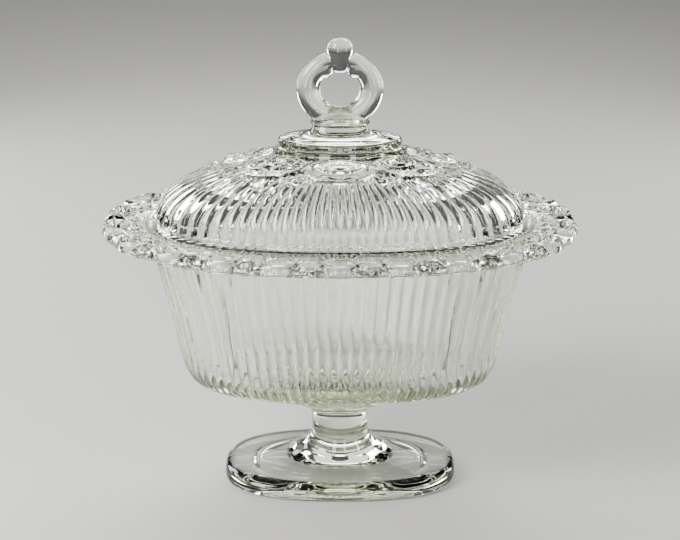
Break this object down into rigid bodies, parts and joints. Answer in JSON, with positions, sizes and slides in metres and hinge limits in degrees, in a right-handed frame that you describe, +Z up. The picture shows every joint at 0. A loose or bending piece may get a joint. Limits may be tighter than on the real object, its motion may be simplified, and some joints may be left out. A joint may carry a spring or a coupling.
{
  "type": "covered candy dish",
  "caption": "Footed oval glass candy dish with a reeded bowl, an openwork lace rim and a loose domed lid that lifts by its ring finial.",
  "frame": {"origin": "centre of the foot ring's underside, where the dish stands on the table", "axes": "+Z up, +X along the dish's longer side, +Y across it towards the back"},
  "size_m": [0.19, 0.134, 0.1835],
  "materials": {
    "clear_glass": "fire-polished clear pressed glass"
  },
  "bodies": {
    "dish": {"dish": "clear_glass"},
    "lid": {"lid": "clear_glass"}
  },
  "joints": [
    {"name": "lid_lift", "type": "slide", "parent": "dish", "child": "lid", "axis": [0, 0, 1], "range_m": [0, 0.12]}
  ]
}
